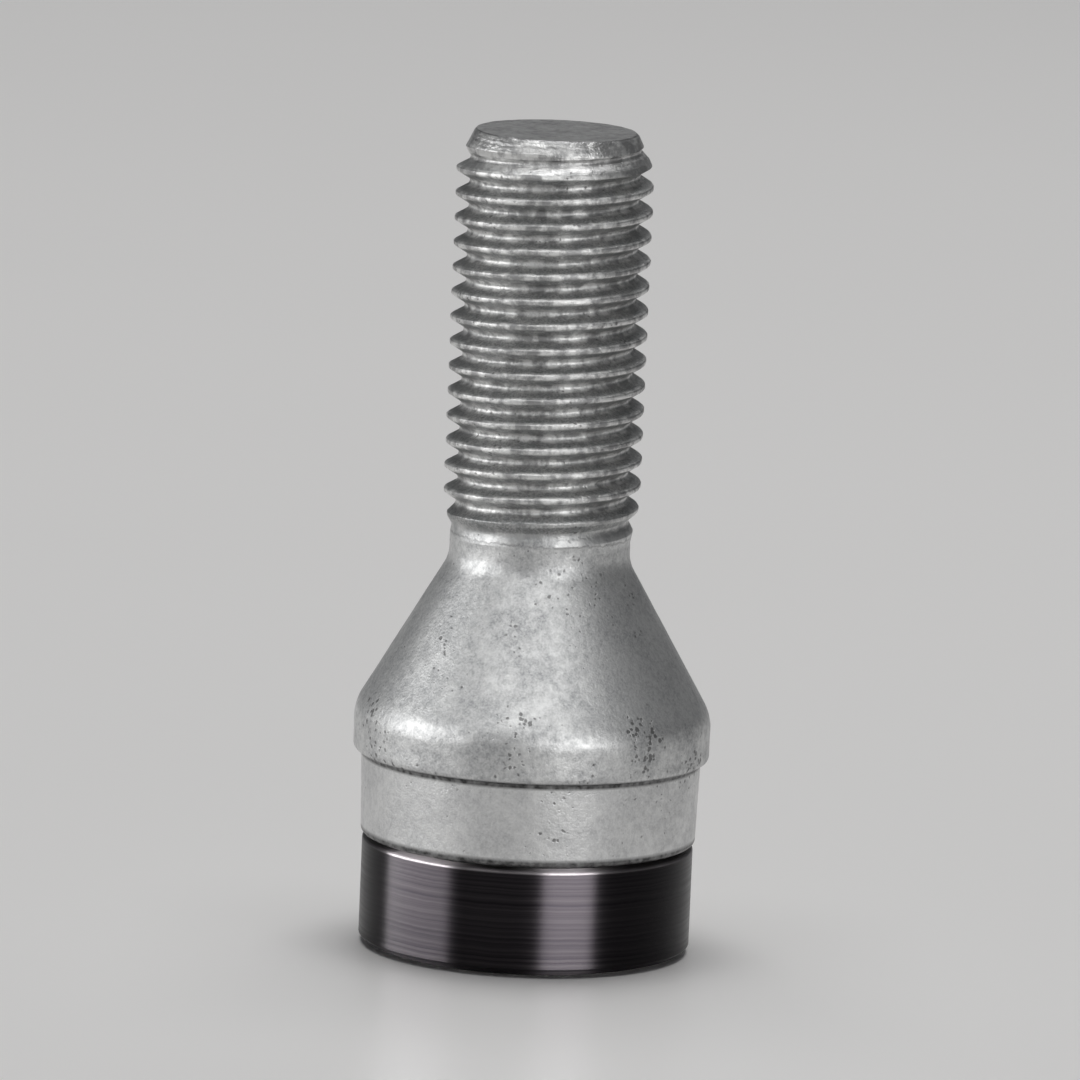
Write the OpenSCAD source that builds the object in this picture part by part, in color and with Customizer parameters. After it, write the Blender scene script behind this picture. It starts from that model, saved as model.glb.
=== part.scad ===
// Locking wheel bolt with a free-spinning collar.
// It stands on the collar's end face, with the thread's tip up. +Z runs along the bolt's axis.
// All lengths are in millimetres.

/* [Thread and shank] */
// Diameter over the thread's crests
thread_d = 11.85; // [9.8:0.05:13.9]
// Pitch of the thread
thread_pitch = 1.5; // [1:0.25:2]
// Length from the end of the cone seat's neck to the tip
thread_len = 24.2; // [12:0.1:60]
// Length of the plain neck between cone seat and thread
neck_len = 1.8; // [0.8:0.1:6]
// Fillet between cone seat and neck
neck_fillet = 2; // [0.5:0.1:4]

/* [Seat and barrel] */
// Diameter of the flange rim at the wide end of the cone seat
flange_d = 21.5; // [21:0.1:26]
// Height from the rim's ledge to the start of the cone
rim_h = 2.65; // [2:0.05:5]
// Rounding where the rim runs into the cone
rim_round = 2.6; // [0.5:0.1:4]
// Included angle of the cone seat
cone_angle = 60; // [50:1:90]
// Diameter of the barrel at the rim
barrel_d = 20.5; // [19.6:0.1:20.8]
// Diameter of the barrel at the collar
barrel_end_d = 20.2; // [19:0.1:20.8]
// Height of the barrel from the collar to the rim
barrel_h = 5.15; // [3:0.05:12]

/* [Collar] */
// Outer diameter of the spinning collar
collar_d = 20; // [19.4:0.1:22]
// Height of the spinning collar
collar_h = 6.5; // [5.5:0.1:10]
// Gap between the collar and the barrel's shoulder
collar_gap = 0.25; // [0.1:0.05:0.6]
// Thickness of the lip that hooks round the end of the head
lip_t = 1; // [0.8:0.05:1.6]
// Diameter of the lip's opening
lip_d = 15.4; // [14.8:0.1:16]
// Width of the bright chamfer round the collar's end
collar_chamfer = 0.3; // [0.1:0.05:0.5]
// Width of the sloping crown inside that chamfer
crown_w = 0.8; // [0.3:0.1:1]
// Height of that crown
crown_h = 0.25; // [0.1:0.05:0.4]

/* [Head end] */
// Diameter of the spigot that the collar turns on
spigot_d = 17.1; // [16.8:0.1:17.4]
// Running clearance between spigot and collar, measured on the radius
running_gap = 0.05; // [0.02:0.01:0.09]
// Clearance between the head's nose and the lip's opening, on the radius
nose_gap = 0.1; // [0.05:0.01:0.2]
// Depth of the head's end face inside the collar's end face
nose_recess = 0.35; // [0.2:0.05:0.6]
// End play between the lip and the spigot's end
lip_gap = 0.1; // [0.05:0.01:0.2]

/* [Retaining ring] */
// Width of the ring along the axis
ring_w = 1; // [0.6:0.05:1.2]
// Thickness of the ring across the axis
ring_t = 1.05; // [0.9:0.05:1.15]
// Depth of the spigot's groove
ring_seat = 0.7; // [0.5:0.05:0.75]
// Opening between the ring's ends
ring_opening = 4; // [2:0.5:8]
// Clearance round the ring in its grooves
ring_gap = 0.1; // [0.05:0.01:0.15]
// Distance from the collar's end face to the middle of the ring
ring_z = 4.2; // [3:0.1:4.4]

/* [Key groove] */
// Mean radius of the key groove's path
key_r = 4.6; // [4.2:0.1:4.8]
// Height of the groove's waves
key_wave = 0.9; // [0.2:0.1:1]
// Width of the key groove
key_w = 2; // [1.4:0.1:2.2]
// Depth of the key groove below the head's end face
key_depth = 4.6; // [2:0.1:5.5]

/* [Hidden] */
$fn = 96;

// Colours of the pieces
zinc_grey = [0.62, 0.63, 0.62];
black_chrome = [0.07, 0.065, 0.075];
spring_steel = [0.35, 0.36, 0.38];

// Radii
thread_r = thread_d / 2;
flange_r = flange_d / 2;
barrel_r = barrel_d / 2;
barrel_end_r = barrel_end_d / 2;
collar_r = collar_d / 2;
lip_r = lip_d / 2;
spigot_r = spigot_d / 2;
bore_r = spigot_r + running_gap;
nose_r = lip_r - nose_gap;

// The shank is rolled from a blank of the thread's pitch diameter
blank_r = thread_r - 0.325 * thread_pitch;
root_r = thread_r - 0.575 * thread_pitch;
// The tip's long chamfer ends just below the thread's roots
tip_r = thread_r - 0.65 * thread_pitch;
tip_chamfer = 1.45 * thread_pitch;
// The threaded shank starts this much inside the neck, and its thread rises to full height over run_in
shank_inset = 0.05;
run_in_r = blank_r - shank_inset;
run_in = 1.4 * thread_pitch;

// Heights above the collar's end face
spigot_z = lip_t + lip_gap;
shoulder_z = collar_h + collar_gap;
ledge_z = shoulder_z + barrel_h;
cone_z = ledge_z + rim_h;
cone_len = (flange_r - blank_r) / tan(cone_angle / 2);
neck_z = cone_z + cone_len;
thread_z = neck_z + neck_len;
tip_z = thread_z + thread_len;

// Outline of one thread: each row is [share of the pitch, radius], from the start of the root
flank_angle = 30;
flank_share = (thread_r - root_r) * tan(flank_angle) / thread_pitch;
root_share = (1 - 2 * flank_share) / 2;
thread_rows = [
    [0, root_r],
    [root_share, root_r],
    [root_share + flank_share, thread_r],
    [1 - flank_share, thread_r]
];
row_count = len(thread_rows);

// The thread's helix starts below the shank and goes on past the tip, and is cut square at both ends
turn_steps = 36;
shank_low_z = thread_z - 0.2 * thread_pitch;
helix_low_z = thread_z - (1.5 + root_share / 2) * thread_pitch;
helix_rows = row_count * ceil((tip_z - helix_low_z) / thread_pitch);

// Small roundings and chamfers of the machined edges
shoulder_round = 0.3;
ledge_round = 0.25;
rim_edge_round = 0.35;
nose_chamfer = 0.2;
lip_edge = 0.25;
collar_edge_round = 0.12;
bore_chamfer = 0.25;
arc_steps = 6;

// The retaining ring lies on the lower side of the spigot's groove
seat_r = spigot_r - ring_seat;
ring_in_r = seat_r + ring_gap / 2;
ring_out_r = ring_in_r + ring_t;
catch_r = ring_out_r + ring_gap;
ring_low_z = ring_z - ring_w / 2;
seat_w = ring_w + 2 * ring_gap;
catch_low_z = ring_low_z - ring_gap;
ring_open_angle = 2 * asin(ring_opening / 2 / ring_in_r);

// The key groove's path is a closed wave, the sum of these cosines.
// Each row is [waves in a turn, share of the wave's height, turned by this angle].
key_waves = [[3, 0.45, 20], [4, 0.35, 150], [7, 0.2, 65]];
key_steps = 120;

// Radius of the key groove's path at angle a, and how fast it changes
function key_path(a) = key_r + key_wave * sum([for (w = key_waves) w[1] * cos(w[0] * a + w[2])]);
function key_slope(a) = -key_wave * sum([for (w = key_waves) w[0] * w[1] * sin(w[0] * a + w[2])]);
function sum(values, i = 0) = i == len(values) ? 0 : values[i] + sum(values, i + 1);

// Point beside the key groove's path, the distance side outwards along the path's normal
function key_point(a, side) =
    let (r = key_path(a), slope = key_slope(a), out = side / norm([r, slope]))
    let (across = r + out * r, along = -out * slope)
    [across * cos(a) - along * sin(a), across * sin(a) + along * cos(a)];

// Corner b of an outline that comes from a and goes on to c, rounded with radius r.
// The rounding takes at most 0.45 of either side.
function rounded_corner(a, b, c, r) =
    let (back = (a - b) / norm(a - b), on = (c - b) / norm(c - b), half = acos(back * on) / 2)
    let (reach = min(r / tan(half), 0.45 * norm(a - b), 0.45 * norm(c - b)))
    let (fit = reach * tan(half), middle = b + (back + on) / norm(back + on) * fit / sin(half))
    let (first = b + back * reach - middle, last = b + on * reach - middle)
    let (start = atan2(first[1], first[0]), turn = atan2(last[1], last[0]) - start)
    let (sweep = turn > 180 ? turn - 360 : turn < -180 ? turn + 360 : turn)
    [for (i = [0:arc_steps]) let (at = start + sweep * i / arc_steps) middle + fit * [cos(at), sin(at)]];

// Outline with rounded corners: each point is [radius, height, rounding]
function rounded(points) = [
    for (i = [0:len(points) - 1])
        let (n = len(points), p = points[i], a = points[(i + n - 1) % n], c = points[(i + 1) % n])
        each p[2] == 0 ? [[p[0], p[1]]] : rounded_corner([a[0], a[1]], [p[0], p[1]], [c[0], c[1]], p[2])
];

// Height of row j of the thread's helix at step i of a turn
function helix_z(i, j) =
    helix_low_z + thread_pitch * (i / turn_steps + floor(j / row_count) + thread_rows[j % row_count][0]);

// The rows at which the square ends of the shank cut each step of the helix
low_rows = [for (i = [0:turn_steps - 1]) max([for (j = [0:helix_rows]) if (helix_z(i, j) <= shank_low_z) j])];
high_rows = [for (i = [0:turn_steps - 1]) min([for (j = [0:helix_rows]) if (helix_z(i, j) >= tip_z) j])];

// Point of row j at step i. The thread fades in at the neck and stays inside the tip's chamfer.
function helix_point(i, j) =
    let (a = 360 * i / turn_steps, z = min(max(helix_z(i, j), shank_low_z), tip_z))
    let (rise = min(max((z - thread_z) / run_in, 0), 1), full_r = thread_rows[j % row_count][1])
    let (r = run_in_r + (full_r - run_in_r) * rise * rise * (3 - 2 * rise))
    let (cut_r = min(r, tip_r + (tip_z - z) * (thread_r - tip_r) / tip_chamfer))
    [cut_r * cos(a), cut_r * sin(a), z];

// Number of that point in the list. After a turn the helix goes on one thread higher.
function helix_index(i, j) =
    i == turn_steps
        ? helix_index(0, j + row_count)
        : i * (helix_rows + 1) + min(max(j, low_rows[i]), high_rows[i]);

// Threaded shank: a right-hand thread with a chamfered tip. Its lower end is sunk in the neck.
module threaded_shank() {
    steps = [0:turn_steps - 1];
    low_end = turn_steps * (helix_rows + 1);
    polyhedron(
        points = [
            for (i = steps, j = [0:helix_rows]) helix_point(i, j),
            [0, 0, shank_low_z],
            [0, 0, tip_z]
        ],
        faces = [
            for (i = steps)
                let (a = helix_index(i, 0), b = helix_index(i + 1, 0))
                [low_end, a, b],
            for (i = steps)
                let (a = helix_index(i, helix_rows), b = helix_index(i + 1, helix_rows))
                [low_end + 1, b, a],
            for (i = steps, j = [0:helix_rows - 1])
                let (a = helix_index(i, j), b = helix_index(i + 1, j))
                let (c = helix_index(i + 1, j + 1), d = helix_index(i, j + 1))
                each [
                    if (a != b && b != c && a != c) [a, c, b],
                    if (a != c && c != d && a != d) [a, d, c]
                ]
        ],
        convexity = 20
    );
}

// Forged, machined and thread-rolled bolt in one piece
module bolt() {
    color(zinc_grey) {
        turned_head();
        threaded_shank();
    }
}

// Nose, spigot, barrel, flange rim, cone seat and neck, with the key groove in the end face
module turned_head() {
    difference() {
        rotate_extrude() polygon(rounded([
            [0, nose_recess, 0],
            [nose_r - nose_chamfer, nose_recess, 0],
            [nose_r, nose_recess + nose_chamfer, 0],
            [nose_r, spigot_z, 0],
            [spigot_r, spigot_z, 0],
            [spigot_r, ring_low_z, 0],
            [seat_r, ring_low_z, 0],
            [seat_r, ring_low_z + seat_w, 0],
            [spigot_r, ring_low_z + seat_w, 0],
            [spigot_r, shoulder_z, 0],
            [barrel_end_r, shoulder_z, shoulder_round],
            [barrel_r, ledge_z, ledge_round],
            [flange_r, ledge_z, rim_edge_round],
            [flange_r, cone_z, rim_round],
            [blank_r, neck_z, neck_fillet],
            [blank_r, thread_z, 0],
            [0, thread_z, 0]
        ]));
        key_groove();
    }
}

// Closed wavy groove in the head's end face, which the key fits
module key_groove() {
    turns = [for (i = [0:key_steps - 1]) i * 360 / key_steps];
    // The cut starts at the collar's end face, below the head's end face
    linear_extrude(nose_recess + key_depth) difference() {
        polygon([for (a = turns) key_point(a, key_w / 2)]);
        polygon([for (a = turns) key_point(a, -key_w / 2)]);
    }
}

// Turned collar: chamfered and crowned end, lip, bore and the groove that catches the ring
module spin_collar() {
    color(black_chrome) rotate_extrude() polygon(rounded([
        [lip_r, lip_edge, 0],
        [lip_r + lip_edge, 0, 0],
        [collar_r - collar_chamfer - crown_w, 0, 0],
        [collar_r - collar_chamfer, crown_h, 0],
        [collar_r, crown_h + collar_chamfer, 0],
        [collar_r, collar_h, collar_edge_round],
        [bore_r + bore_chamfer, collar_h, 0],
        [bore_r, collar_h - bore_chamfer, 0],
        [bore_r, catch_low_z + seat_w, 0],
        [catch_r, catch_low_z + seat_w, 0],
        [catch_r, catch_low_z, 0],
        [bore_r, catch_low_z, 0],
        [bore_r, lip_t, 0],
        [lip_r, lip_t, 0]
    ]));
}

// Spring-steel C-ring that keeps the collar on the spigot
module retaining_ring() {
    color(spring_steel)
        rotate([0, 0, 90 + ring_open_angle / 2])
            rotate_extrude(angle = 360 - ring_open_angle)
                translate([ring_in_r, ring_low_z])
                    square([ring_t, ring_w]);
}

bolt();
spin_collar();
retaining_ring();
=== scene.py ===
from math import atan2, ceil, cos, hypot, pi, radians, sin, tan

import bmesh
import bpy
from mathutils import Matrix, Vector, noise


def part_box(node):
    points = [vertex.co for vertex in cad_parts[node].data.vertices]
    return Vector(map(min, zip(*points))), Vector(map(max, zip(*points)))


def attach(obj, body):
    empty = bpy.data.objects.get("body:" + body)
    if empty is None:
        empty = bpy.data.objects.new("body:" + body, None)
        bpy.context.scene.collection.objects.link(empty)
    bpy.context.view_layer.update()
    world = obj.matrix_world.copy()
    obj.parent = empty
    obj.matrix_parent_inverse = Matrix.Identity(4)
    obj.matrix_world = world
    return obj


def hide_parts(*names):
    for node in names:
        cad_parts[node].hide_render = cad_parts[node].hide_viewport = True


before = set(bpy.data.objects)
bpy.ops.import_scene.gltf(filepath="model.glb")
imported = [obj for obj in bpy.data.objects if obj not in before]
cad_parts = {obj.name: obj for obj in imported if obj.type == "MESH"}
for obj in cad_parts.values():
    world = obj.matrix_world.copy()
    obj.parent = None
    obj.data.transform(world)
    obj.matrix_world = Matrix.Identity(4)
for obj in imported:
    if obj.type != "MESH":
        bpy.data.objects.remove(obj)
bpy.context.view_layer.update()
mm = 0.001

# Bolt: one piece of forged alloy steel. The head is turned, the thread is rolled on a plain blank,
# and a wavy groove for the key is cut into the end face. A grey zinc-flake coat is baked on.
bolt_low, bolt_high = (Vector(corner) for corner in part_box("bolt"))
collar_high = Vector(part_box("spin_collar")[1])

pitch = 1.5 * mm
crest_r = 5.925 * mm
root_r = crest_r - 0.55 * pitch
crest_w = 0.17 * pitch
crest_round = 0.13 * mm
root_round = 0.25 * mm
flank_slope = radians(30)
blank_r = crest_r - 0.325 * pitch
run_out = 2.3 * pitch
run_out_waver = 0.2 * mm
thread_wear = 0.03 * mm
thread_burr = 0.02 * mm
tip_r = crest_r - 0.65 * pitch
tip_chamfer = 1.45 * pitch
tip_round = 0.15 * mm

nose_r = 7.6 * mm
nose_lead = 0.2 * mm
spigot_r = 8.55 * mm
seat_r = 7.85 * mm
seat_w = 1.2 * mm
barrel_end_r = 10.1 * mm
barrel_end_round = 0.3 * mm
barrel_r = 10.25 * mm
ledge_round = 0.25 * mm
flange_r = bolt_high.x
rim_low_round = 0.35 * mm
rim_high_round = 2.6 * mm
cone_slope = radians(30)
neck_round = 2 * mm

end_z = bolt_low.z
spigot_z = 1.1 * mm
seat_z = 3.7 * mm
shoulder_z = collar_high.z + 0.25 * mm
ledge_z = shoulder_z + 5.15 * mm
cone_z = ledge_z + 2.65 * mm
neck_z = cone_z + (flange_r - blank_r) / tan(cone_slope)
thread_z = neck_z + 1.8 * mm
fade_z = thread_z - 0.9 * mm
tip_z = bolt_high.z

round_steps = 144
weld = 0.002 * mm


def round_corner(bm, corner, rounding, segments=6):
    """Rounds a corner of an open outline with an arc of that radius."""
    before, after = (edge.other_vert(corner).co - corner.co for edge in corner.link_edges)
    reach = rounding * tan((pi - before.angle(after)) / 2)
    bmesh.ops.bevel(bm, geom=[corner], offset=reach, offset_type="OFFSET", segments=segments,
                    profile=0.5, affect="VERTICES", material=-1)


def new_outline(points):
    """Open outline from (radius, height, rounding) points, in the XZ plane."""
    bm = bmesh.new()
    corners = [bm.verts.new((r, 0, z)) for r, z, rounding in points]
    for pair in zip(corners, corners[1:]):
        bm.edges.new(pair)
    for corner, (r, z, rounding) in zip(corners, points):
        if rounding:
            round_corner(bm, corner, rounding)
    return bm


def turned_skin(points, steps=round_steps, ring_gap=None):
    """Skin turned about Z from an outline. Its long sides get a ring every ring_gap."""
    bm = new_outline(points)
    if ring_gap:
        for side in bm.edges[:]:
            cuts = int(side.calc_length() / ring_gap)
            if cuts:
                bmesh.ops.subdivide_edges(bm, edges=[side], cuts=cuts)
    bmesh.ops.spin(bm, geom=bm.verts[:] + bm.edges[:], cent=(0, 0, 0), axis=(0, 0, 1),
                   angle=2 * pi, steps=steps, use_merge=True)
    return bm


def thread_turns():
    """Helical turns of the rolled thread, from below its run-out to past the bolt's tip."""
    flank = (crest_r - root_r) * tan(flank_slope)
    root_half = (pitch - crest_w - 2 * flank) / 2
    low_z = thread_z - 2.5 * pitch
    bm = new_outline([
        (root_r, low_z, 0),
        (root_r, low_z + root_half, root_round),
        (crest_r, low_z + root_half + flank, crest_round),
        (crest_r, low_z + root_half + flank + crest_w, crest_round),
        (root_r, low_z + pitch - root_half, root_round),
        (root_r, low_z + pitch, 0),
    ])
    bmesh.ops.spin(bm, geom=bm.verts[:] + bm.edges[:], cent=(0, 0, 0), axis=(0, 0, 1),
                   angle=2 * pi, dvec=(0, 0, pitch / round_steps), steps=round_steps,
                   use_merge=False)
    one_turn = bm.verts[:] + bm.edges[:] + bm.faces[:]
    for count in range(1, ceil((tip_z - low_z) / pitch) + 1):
        copy = bmesh.ops.duplicate(bm, geom=one_turn)["geom"]
        copied_verts = [part for part in copy if isinstance(part, bmesh.types.BMVert)]
        bmesh.ops.translate(bm, verts=copied_verts, vec=(0, 0, count * pitch))
    return bm


def thread_skin():
    """Rolled thread, worn a little, faded into the neck and cut by the tip's chamfer."""
    bm = thread_turns()
    chamfer_slope = (crest_r - tip_r) / (tip_chamfer - tip_round)
    for v in bm.verts:
        angle = round(atan2(v.co.y, v.co.x) / (2 * pi) * round_steps) * 2 * pi / round_steps
        around = Vector((cos(angle), sin(angle), 0))
        start_z = fade_z + run_out_waver * noise.noise(around * 1.3)
        fade = min(max((v.co.z - start_z) / run_out, 0), 1)
        fade = fade * fade * (3 - 2 * fade)
        wear = thread_wear * noise.noise(v.co * 700) + thread_burr * noise.noise(v.co * 2600)
        r = blank_r + (hypot(v.co.x, v.co.y) + wear - blank_r) * fade
        to_tip = max(tip_z - tip_round - v.co.z, 0)
        r = min(r, tip_r + to_tip * chamfer_slope)
        z = min(max(v.co.z, fade_z), tip_z - tip_round)
        v.co = (r * cos(angle), r * sin(angle), z)
    return bm


def push_out(v, distance):
    """Moves a point away from the bolt's axis."""
    v.co += Vector((v.co.x, v.co.y, 0)).normalized() * distance


def joined(*skins):
    """One skin from several."""
    whole = bmesh.new()
    for skin in skins:
        part = bpy.data.meshes.new("part")
        skin.to_mesh(part)
        skin.free()
        whole.from_mesh(part)
        bpy.data.meshes.remove(part)
    return whole


# The key groove's path is a closed wave: (waves in a turn, share of the height, turned by)
key_r = 4.6 * mm
key_wave = 0.9 * mm
key_w = 2.0 * mm
key_depth = 4.6 * mm
key_lead = 0.12 * mm
key_waves = [(3, 0.45, 20), (4, 0.35, 150), (7, 0.2, 65)]
key_steps = 120


def key_loop(bm, side, z):
    """Closed loop beside the key groove's path, side outwards along its normal."""
    ring = bmesh.ops.create_circle(bm, segments=key_steps, radius=key_r)["verts"]
    for v in ring:
        a = atan2(v.co.y, v.co.x)
        r = key_r + key_wave * sum(s * cos(n * a + radians(p)) for n, s, p in key_waves)
        slope = -key_wave * sum(n * s * sin(n * a + radians(p)) for n, s, p in key_waves)
        out = side / hypot(r, slope)
        v.co = Matrix.Rotation(a, 3, "Z") @ Vector((r + out * r, -out * slope, 0))
        v.co.z = z
    return list({e for v in ring for e in v.link_edges})


def end_face(bm):
    """Flat end face with the key groove: mouth with a small lead, two walls and a floor."""
    rim = [e for e in bm.edges
           if e.is_boundary and all(abs(v.co.z - end_z) < weld for v in e.verts)]
    mouths, floors = [], []
    for hand in (1, -1):
        mouth = key_loop(bm, hand * (key_w / 2 + key_lead), end_z)
        lead = key_loop(bm, hand * key_w / 2, end_z + key_lead)
        floor = key_loop(bm, hand * key_w / 2, end_z + key_depth)
        bmesh.ops.bridge_loops(bm, edges=mouth + lead)
        bmesh.ops.bridge_loops(bm, edges=lead + floor)
        mouths += mouth
        floors += floor
    bmesh.ops.triangle_fill(bm, edges=rim + mouths, use_beauty=True)
    bmesh.ops.triangle_fill(bm, edges=floors, use_beauty=True)


def finished_mesh(bm, name, sharp_deg=32):
    """Welds the skin, turns its faces outwards, smooths it up to sharp_deg and makes the piece."""
    bmesh.ops.remove_doubles(bm, verts=bm.verts, dist=weld)
    bmesh.ops.recalc_face_normals(bm, faces=bm.faces)
    for face in bm.faces:
        face.smooth = True
    for edge in bm.edges:
        edge.smooth = edge.calc_face_angle(0) < radians(sharp_deg)
    mesh = bpy.data.meshes.new(name)
    bm.to_mesh(mesh)
    bm.free()
    piece = bpy.data.objects.new(name, mesh)
    bpy.context.scene.collection.objects.link(piece)
    return piece


head = turned_skin([
    (nose_r - nose_lead, end_z, 0),
    (nose_r, end_z + nose_lead, 0),
    (nose_r, spigot_z, 0),
    (spigot_r, spigot_z, 0),
    (spigot_r, seat_z, 0),
    (seat_r, seat_z, 0),
    (seat_r, seat_z + seat_w, 0),
    (spigot_r, seat_z + seat_w, 0),
    (spigot_r, shoulder_z, 0),
    (barrel_end_r, shoulder_z, barrel_end_round),
    (barrel_r, ledge_z, ledge_round),
    (flange_r, ledge_z, rim_low_round),
    (flange_r, cone_z, rim_high_round),
    (blank_r, neck_z, neck_round),
    (blank_r, fade_z, 0),
], ring_gap=0.35 * mm)

# Dents and small pocks from forging, the dents deepest round the flange's rim
dent = 0.012 * mm
rim_dent = 0.02 * mm
pock = 0.006 * mm
rim_middle = ledge_z + 1.2 * mm
rim_reach = 2.2 * mm
for v in head.verts:
    if shoulder_z + weld < v.co.z < fade_z - weld:
        at_rim = max(0, 1 - abs(v.co.z - rim_middle) / rim_reach)
        dents = (dent + rim_dent * at_rim) * noise.noise(v.co * 600)
        push_out(v, dents + pock * noise.noise(v.co * 2200))

# Rolling the thread leaves the blank's end a little hollow, with a ragged edge
end_hollow = 0.05 * mm
end_dip = 0.02 * mm
end_dip_w = 1.2 * mm
ragged = 0.09 * mm
tip = turned_skin([
    (tip_r, tip_z - tip_round, 0),
    (tip_r - tip_round, tip_z, 0),
    (tip_r - end_dip_w, tip_z - end_dip, 0),
    (0, tip_z - end_hollow, 0),
], ring_gap=0.4 * mm)
for v in tip.verts:
    if v.co.z > tip_z - end_dip / 2:
        push_out(v, ragged * noise.noise(v.co * 1400))

bm = joined(head, thread_skin(), tip)
end_face(bm)
bolt = finished_mesh(bm, "forged_bolt")
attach(bolt, "bolt")
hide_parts("bolt")


def add(tree, kind, ins, **settings):
    """Shader node with its settings, and its sockets filled or linked."""
    made = tree.nodes.new(kind)
    for key, value in settings.items():
        setattr(made, key, value)
    for key, value in ins.items():
        if isinstance(value, bpy.types.NodeSocket):
            tree.links.new(value, made.inputs[key])
        else:
            made.inputs[key].default_value = value
    return made


def calc(tree, operation, one, other, clamp=False):
    """Sum, product or other Math node of two values."""
    return add(tree, "ShaderNodeMath", {0: one, 1: other}, operation=operation,
               use_clamp=clamp).outputs[0]


def scaled(tree, value, factor):
    """Value times a number or another value."""
    return calc(tree, "MULTIPLY", value, factor)


def ramp(tree, value, low, high, start=0.0, end=1.0):
    """Goes from start to end while the value goes from low to high."""
    return add(tree, "ShaderNodeMapRange", {"Value": value, "From Min": low, "From Max": high,
                                            "To Min": start, "To Max": end}).outputs["Result"]


def grain(tree, place, scale, detail, roughness=0.5):
    """Noise about 0.5, finer where the scale is larger."""
    return add(tree, "ShaderNodeTexNoise", {"Vector": place, "Scale": scale, "Detail": detail,
                                            "Roughness": roughness}).outputs["Fac"]


def rings(tree, height, scale, detail, roughness=0.5):
    """Noise that changes along one value alone, so it lies in rings round the axis."""
    along = add(tree, "ShaderNodeCombineXYZ", {"X": height}).outputs[0]
    return grain(tree, along, scale, detail, roughness)


def mixed(tree, amount, one, other):
    """Colour between two others."""
    return add(tree, "ShaderNodeMix", {0: amount, 6: one, 7: other}, data_type="RGBA").outputs[2]


def use(tree, group, **ins):
    """Places a node group in a material."""
    return add(tree, "ShaderNodeGroup", ins, node_tree=group).outputs[0]


def new_group(name, sockets, out):
    """Empty shader node group with float or vector inputs and one float output."""
    tree = bpy.data.node_groups.new(name, "ShaderNodeTree")
    for socket, default in sockets.items():
        kind = "NodeSocketVector" if default is None else "NodeSocketFloat"
        made = tree.interface.new_socket(socket, in_out="INPUT", socket_type=kind)
        if default is not None:
            made.default_value = default
    tree.interface.new_socket(out, in_out="OUTPUT", socket_type="NodeSocketFloat")
    return tree, add(tree, "NodeGroupInput", {}).outputs, add(tree, "NodeGroupOutput", {}).inputs


# Pits: small uneven hollows, more of them where a slow noise is high
pit_bend = 0.00022
pits, pit_in, pit_out = new_group("pits", {"Vector": None, "Size": 2500.0, "Amount": 0.4}, "Mask")
bend = add(pits, "ShaderNodeTexNoise", {"Vector": pit_in["Vector"], "Scale": 3500.0, "Detail": 1.0})
bent = add(pits, "ShaderNodeVectorMath",
           {0: bend.outputs["Color"], 1: (pit_bend, pit_bend, pit_bend), 2: pit_in["Vector"]},
           operation="MULTIPLY_ADD").outputs[0]
cells = add(pits, "ShaderNodeTexVoronoi", {"Vector": bent, "Scale": pit_in["Size"]}).outputs
chance = add(pits, "ShaderNodeSeparateColor", {0: cells["Color"]}).outputs[0]
crowd = ramp(pits, grain(pits, pit_in["Vector"], scale=300.0, detail=2.0), 0.35, 0.65)
over = calc(pits, "ADD", chance, scaled(pits, pit_in["Amount"], crowd))
size = calc(pits, "SUBTRACT", over, 1.0)
inside = calc(pits, "SUBTRACT", size, cells["Distance"])
pits.links.new(ramp(pits, inside, -0.02, 0.24), pit_out["Mask"])

# Span: soft mask that is 1 between two heights
span_sockets = {"Height": 0.0, "Low": 0.0, "High": 1.0, "Soft": 0.1}
span, span_in, span_out = new_group("span", span_sockets, "Mask")
above = calc(span, "SUBTRACT", span_in["Height"], span_in["Low"])
below = calc(span, "SUBTRACT", span_in["High"], span_in["Height"])
share = calc(span, "DIVIDE", calc(span, "MINIMUM", above, below), span_in["Soft"])
span.links.new(calc(span, "ADD", share, 0.5, clamp=True), span_out["Mask"])


def between(tree, height, low, high, soft):
    """Mask that is 1 from low to high, both in metres. The height and soft are in mm."""
    return use(tree, span, Height=height, Low=low / mm, High=high / mm, Soft=soft)


def fresh_material(name):
    """Material, its tree and shader, its coordinates, and a point's height and radius in mm."""
    material = bpy.data.materials.new(name)
    material.use_nodes = True
    tree = material.node_tree
    shader = tree.nodes["Principled BSDF"]
    place = add(tree, "ShaderNodeTexCoord", {}).outputs["Object"]
    parts = add(tree, "ShaderNodeSeparateXYZ", {0: place}).outputs
    height = scaled(tree, parts["Z"], 1000)
    square = calc(tree, "ADD", scaled(tree, parts["X"], parts["X"]),
                  scaled(tree, parts["Y"], parts["Y"]))
    radius = scaled(tree, add(tree, "ShaderNodeMath", {0: square}, operation="SQRT").outputs[0],
                    1000)
    return material, tree, shader, place, height, radius


def set_surface(tree, shader, colour, rough, relief=None, strength=1.0, depth=mm):
    """Links colour, roughness and bump to the shader."""
    tree.links.new(colour, shader.inputs["Base Color"])
    tree.links.new(rough, shader.inputs["Roughness"])
    if relief is not None:
        bump = add(tree, "ShaderNodeBump",
                   {"Strength": strength, "Distance": depth, "Height": relief})
        tree.links.new(bump.outputs["Normal"], shader.inputs["Normal"])


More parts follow.
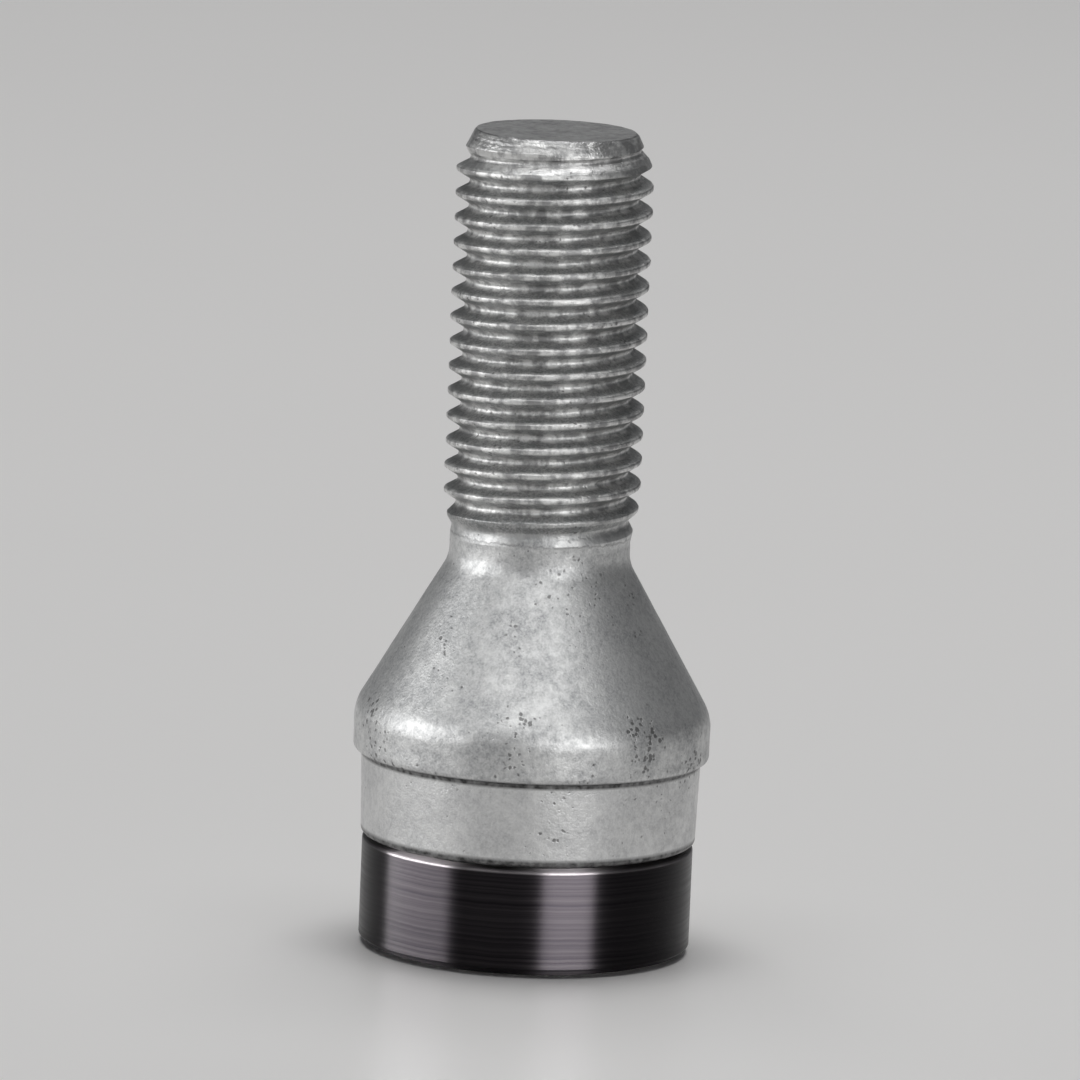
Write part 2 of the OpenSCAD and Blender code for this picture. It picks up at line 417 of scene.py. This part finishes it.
# The coat's own grey: dull and clean patches, with lighter flakes
zinc, tree, shader, place, height, radius = fresh_material("zinc_flake_coat")
shader.inputs["Metallic"].default_value = 0.9
past_tip = tip_z + 10 * mm
dull_zinc = (0.3, 0.305, 0.31, 1)
clean_zinc = (0.58, 0.585, 0.58, 1)
flake_grey = (0.82, 0.82, 0.82, 1)
barrel_grey = (0.78, 0.78, 0.78, 1)
cloud = grain(tree, place, scale=520.0, detail=4.0)
mottle = grain(tree, place, scale=2400.0, detail=3.0)
flakes = grain(tree, place, scale=7500.0, detail=2.0)
patchy = calc(tree, "ADD", scaled(tree, cloud, 0.5), scaled(tree, mottle, 0.5))
patchy = ramp(tree, patchy, 0.36, 0.64)
grains = ramp(tree, flakes, 0.35, 0.65)
on_barrel = between(tree, height, shoulder_z, ledge_z, soft=0.3)
coat = mixed(tree, patchy, dull_zinc, clean_zinc)
coat = mixed(tree, scaled(tree, grains, 0.3), coat, flake_grey)
coat = mixed(tree, scaled(tree, on_barrel, 0.3), coat, barrel_grey)

# The rolled thread is darker, with broken bright lines painted along its crests and roots: painted
# highlights, on the crests partly wear
dark_thread = (0.26, 0.27, 0.27, 1)
pale_thread = (0.5, 0.5, 0.495, 1)
thread_speck = (0.14, 0.14, 0.14, 1)
dull_line = (0.3, 0.3, 0.3, 1)
painted_highlight_grey = (0.72, 0.72, 0.71, 1)
on_thread = between(tree, height, thread_z + 0.3 * mm, past_tip, soft=0.8)
broken = ramp(tree, grain(tree, place, scale=1100.0, detail=4.0, roughness=0.65), 0.42, 0.58)
# Painted highlights: lighter lines on the crests, partly wear as well, and on the roots
crest_wear_and_highlight = ramp(tree, radius, crest_r / mm - 0.22, crest_r / mm - 0.08)
painted_root_highlight = ramp(tree, radius, root_r / mm + 0.28, root_r / mm + 0.1)
highlight_line_grey = mixed(tree, broken, dull_line, painted_highlight_grey)
lines = scaled(tree, calc(tree, "MAXIMUM", crest_wear_and_highlight, painted_root_highlight), 0.85)
thread_grey = mixed(tree, patchy, dark_thread, pale_thread)
thread_grey = mixed(tree, scaled(tree, grains, 0.6), thread_grey, thread_speck)
thread_grey = mixed(tree, lines, thread_grey, highlight_line_grey)

# The tip's chamfer shows traces of the turning tool, and its end face is dark
dull_tip = (0.32, 0.32, 0.32, 1)
bright_tip = (0.75, 0.75, 0.74, 1)
dark_end = (0.16, 0.16, 0.16, 1)
pale_end = (0.34, 0.34, 0.34, 1)
on_tip = between(tree, height, tip_z - tip_chamfer + 0.3 * mm, tip_z - 0.12 * mm, soft=0.4)
traces = calc(tree, "ADD", height, scaled(tree, mottle, 0.25))
traces = rings(tree, traces, scale=2.6, detail=1.0)
traces = ramp(tree, traces, 0.35, 0.6)
tip_grey = mixed(tree, scaled(tree, traces, broken), dull_tip, bright_tip)
thread_grey = mixed(tree, scaled(tree, on_tip, 0.8), thread_grey, tip_grey)
on_end = between(tree, height, tip_z - 0.07 * mm, past_tip, soft=0.04)
end_grey = mixed(tree, patchy, dark_end, pale_end)
thread_grey = mixed(tree, on_end, thread_grey, end_grey)
coat = mixed(tree, on_thread, coat, thread_grey)

# Wear along the rim's top, and pits that crowd on the rim
worn_grey = (0.85, 0.85, 0.85, 1)
pit_grey = (0.1, 0.1, 0.1, 1)
on_rim = between(tree, height, ledge_z - 0.4 * mm, cone_z + 1.2 * mm, soft=1.0)
uneven = calc(tree, "ADD", height, cloud)
worn = between(tree, uneven, cone_z + 0.25 * mm, cone_z + 0.42 * mm, soft=0.3)
worn = scaled(tree, worn, broken)
coat = mixed(tree, scaled(tree, worn, 0.5), coat, worn_grey)
small_amount = calc(tree, "ADD", scaled(tree, on_rim, 0.25), 0.55)
large_amount = calc(tree, "ADD", scaled(tree, on_rim, 0.1), 0.14)
small_pits = use(tree, pits, Vector=place, Size=3600.0, Amount=small_amount)
large_pits = use(tree, pits, Vector=place, Size=1100.0, Amount=large_amount)
pitted = calc(tree, "MAXIMUM", small_pits, large_pits)
coat = mixed(tree, scaled(tree, pitted, 0.75), coat, pit_grey)

# Painted shade under the rim and in the gap above the collar, and grime where the thread runs out
shade_and_grime_grey = (0.05, 0.05, 0.05, 1)
# Painted shade: a dark band on the barrel under the rim's overhang
painted_shade_under_rim = between(tree, height, ledge_z - 0.35 * mm, ledge_z + 0.05 * mm, soft=0.18)
# Painted shade: a dark band where the barrel meets the collar
painted_shade_at_gap = between(tree, height, shoulder_z - 0.3 * mm, shoulder_z + 0.42 * mm, soft=0.25)
wavy = calc(tree, "ADD", height, scaled(tree, mottle, 0.5))
at_run_out = between(tree, wavy, thread_z + 0.02 * mm, thread_z + 0.1 * mm, soft=0.12)
at_run_out = scaled(tree, at_run_out, cloud)
shade_and_grime = calc(tree, "MAXIMUM", calc(tree, "MAXIMUM", painted_shade_under_rim, painted_shade_at_gap), at_run_out)
shade_and_grime = calc(tree, "MULTIPLY", shade_and_grime, calc(tree, "ADD", mottle, 0.35), clamp=True)
# Mixes the painted shade and the grime at the run-out into the coat
coat = mixed(tree, shade_and_grime, coat, shade_and_grime_grey)

rough = ramp(tree, patchy, 0.0, 1.0, start=0.5, end=0.42)
rough = calc(tree, "SUBTRACT", rough, scaled(tree, on_thread, 0.04))
rough = calc(tree, "SUBTRACT", rough, scaled(tree, on_barrel, 0.08))
fine = scaled(tree, flakes, 0.6)
rolled = scaled(tree, calc(tree, "ADD", mottle, fine), on_thread)
relief = calc(tree, "ADD", fine, calc(tree, "ADD", mottle, rolled))
relief = calc(tree, "SUBTRACT", relief, scaled(tree, pitted, 0.7))
relief = calc(tree, "ADD", relief, scaled(tree, scaled(tree, traces, on_tip), 1.6))
set_surface(tree, shader, coat, rough, relief, strength=0.6, depth=0.035 * mm)
bolt.data.materials.append(zinc)

# Spinning collar: turned from bar, with an inner lip and groove, and plated with glossy black
# chrome. It goes on over the spigot and turns there freely, so a gripping tool finds no hold.
collar_r = collar_high.x
collar_top = collar_high.z
collar_steps = 256
running_gap = 0.05 * mm
bore_r = spigot_r + running_gap
bore_lead = 0.25 * mm
lip_gap = 0.1 * mm
lip_r = nose_r + lip_gap
lip_top = 1 * mm
lip_lead = 0.25 * mm
lip_round = 0.1 * mm
face_r = collar_r - 1.1 * mm
face_round = 0.4 * mm
chamfer_w = 0.3 * mm
chamfer_low = 0.25 * mm
chamfer_high = 0.55 * mm
chamfer_round = 0.08 * mm
top_round = 0.18 * mm
catch_r = 9.05 * mm
catch_z = seat_z - 0.1 * mm
bm = turned_skin([
    (lip_r, lip_top, 0),
    (lip_r, lip_lead, lip_round),
    (lip_r + lip_lead, 0, lip_round),
    (face_r, 0, face_round),
    (collar_r - chamfer_w, chamfer_low, chamfer_round),
    (collar_r, chamfer_high, chamfer_round),
    (collar_r, collar_top, top_round),
    (bore_r + bore_lead, collar_top, 0),
    (bore_r, collar_top - bore_lead, 0),
    (bore_r, catch_z + seat_w, 0),
    (catch_r, catch_z + seat_w, 0),
    (catch_r, catch_z, 0),
    (bore_r, catch_z, 0),
    (bore_r, lip_top, 0),
    (lip_r, lip_top, 0),
], steps=collar_steps)
collar = finished_mesh(bm, "black_collar", sharp_deg=40)
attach(collar, "collar")
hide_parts("spin_collar")

# Fine lines from turning run round the collar, and its top edge is a little worn and has a painted
# highlight
deep_black = (0.008, 0.007, 0.009, 1)
line_black = (0.032, 0.029, 0.031, 1)
dust_grey = (0.3, 0.29, 0.29, 1)
worn_and_lit_edge_grey = (0.3, 0.28, 0.29, 1)
chrome, tree, shader, place, height, radius = fresh_material("black_chrome_plate")
shader.inputs["Metallic"].default_value = 1.0
shader.inputs["Anisotropic"].default_value = 1.0
shader.inputs["Anisotropic Rotation"].default_value = 0.25
waver = grain(tree, place, scale=420.0, detail=2.0)
along = calc(tree, "ADD", calc(tree, "ADD", height, radius), scaled(tree, waver, 0.16))
lines = ramp(tree, rings(tree, along, scale=3.2, detail=3.0, roughness=0.62), 0.32, 0.68)
dust = use(tree, pits, Vector=place, Size=2600.0, Amount=0.1)
# Painted highlight along the collar's rounded top edge, partly wear as well
edge_wear_and_highlight = between(tree, height, collar_top - 0.16 * mm, collar_top + 0.1 * mm, soft=0.08)
black = mixed(tree, lines, deep_black, line_black)
black = mixed(tree, scaled(tree, dust, 0.3), black, dust_grey)
black = mixed(tree, scaled(tree, edge_wear_and_highlight, calc(tree, "ADD", waver, 0.1)), black, worn_and_lit_edge_grey)
rough = ramp(tree, lines, 0.0, 1.0, start=0.3, end=0.44)
set_surface(tree, shader, black, rough, lines, strength=0.4, depth=0.02 * mm)
collar.data.materials.append(chrome)

# Retaining ring: an open ring of square spring-steel wire, sprung into the spigot's groove before
# the collar goes on. It opens out into the collar's groove and is hidden between the two.
dark_wire = (0.25, 0.26, 0.28, 1)
pale_wire = (0.4, 0.41, 0.43, 1)
steel, tree, shader, place, height, radius = fresh_material("spring_steel_wire")
shader.inputs["Metallic"].default_value = 1.0
drawn = grain(tree, place, scale=3000.0, detail=2.0)
wire_grey = mixed(tree, drawn, dark_wire, pale_wire)
rough = ramp(tree, drawn, 0.0, 1.0, start=0.25, end=0.4)
set_surface(tree, shader, wire_grey, rough)
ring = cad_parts["retaining_ring"]
ring.data.materials.clear()
ring.data.materials.append(steel)

# Studio: a pale floor that runs on past the picture's edges, and soft boxes. A broad box hangs over
# the bolt and a weak one stands behind it. The low boxes light the metal and leave the floor alone.
floor_half = 3.0
dark_floor = (0.83, 0.82, 0.81, 1)
pale_floor = (0.86, 0.85, 0.84, 1)
bm = bmesh.new()
bmesh.ops.create_grid(bm, x_segments=1, y_segments=1, size=floor_half)
floor = finished_mesh(bm, "studio_floor")
floor_paint, tree, shader, place, height, radius = fresh_material("pale_floor")
shade = mixed(tree, grain(tree, place, scale=8.0, detail=2.0), dark_floor, pale_floor)
tree.links.new(shade, shader.inputs["Base Color"])
shader.inputs["Roughness"].default_value = 0.32
floor.data.materials.append(floor_paint)

middle = Vector((0, 0, tip_z / 2))


def lit_group(name, *pieces):
    """Collection of the pieces that a soft box is kept to."""
    group = bpy.data.collections.new(name)
    for piece in pieces:
        group.objects.link(piece)
    return group


def soft_box(name, turn_deg, rise_deg, distance, width, tall, watts, lights_only=None):
    """Area light that faces the bolt. Turn is from the camera's side, positive to the right."""
    data = bpy.data.lights.new(name, "AREA")
    data.shape = "RECTANGLE"
    data.size = width
    data.size_y = tall
    data.energy = watts
    turn, rise = radians(turn_deg), radians(rise_deg)
    way = Vector((sin(turn) * cos(rise), -cos(turn) * cos(rise), sin(rise)))
    light = bpy.data.objects.new(name, data)
    light.location = middle + way * distance
    light.rotation_euler = way.to_track_quat("Z", "Y").to_euler()
    light.visible_camera = False
    bpy.context.scene.collection.objects.link(light)
    if lights_only is not None:
        light.light_linking.receiver_collection = lights_only


# Turn and rise in degrees, distance and size in metres. The glints draw the collar's bands.
metal = lit_group("metal_pieces", bolt, collar)
dark_metal = lit_group("dark_pieces", collar)
soft_box("top_box", 180, 83, 1.1, 0.9, 0.9, 10.8)
soft_box("back_box", 170, 35, 0.7, 0.3, 0.3, 0.2)
soft_box("left_box", -80, 11, 0.5, 0.5, 0.32, 1.55, metal)
soft_box("right_box", 29, 11, 0.5, 0.28, 0.32, 0.9, metal)
soft_box("front_box", -7, 47, 0.7, 0.85, 0.42, 1.45, metal)
soft_box("left_glint", -82, 5, 0.5, 0.53, 0.14, 8.5, dark_metal)
soft_box("right_glint", 30, 5, 0.5, 0.32, 0.14, 8.5, dark_metal)

room_grey = (0.8, 0.82, 0.85, 1)
room_light = 0.1
world = bpy.data.worlds.new("studio")
world.use_nodes = True
backdrop = world.node_tree.nodes["Background"].inputs
backdrop["Color"].default_value = room_grey
backdrop["Strength"].default_value = room_light
bpy.context.scene.world = world

# Camera: a long lens, a little above the bolt, rolled so that the bolt leans as in the photo
camera_rise = radians(9.7)
camera_lean = radians(2.4)
camera_distance = 0.7
view_height = 0.065
sensor = 0.036
lens_data = bpy.data.cameras.new("camera")
lens_data.sensor_width = sensor / mm
lens_data.lens = sensor / view_height * camera_distance / mm
lens_data.clip_start = 0.01
camera = bpy.data.objects.new("camera", lens_data)
way = Vector((0, -cos(camera_rise), sin(camera_rise)))
turned = way.to_track_quat("Z", "Y").to_matrix() @ Matrix.Rotation(camera_lean, 3, "Z")
camera.matrix_world = Matrix.Translation(middle + way * camera_distance) @ turned.to_4x4()
bpy.context.scene.collection.objects.link(camera)
bpy.context.scene.camera = camera
bpy.context.scene.view_settings.view_transform = "Standard"
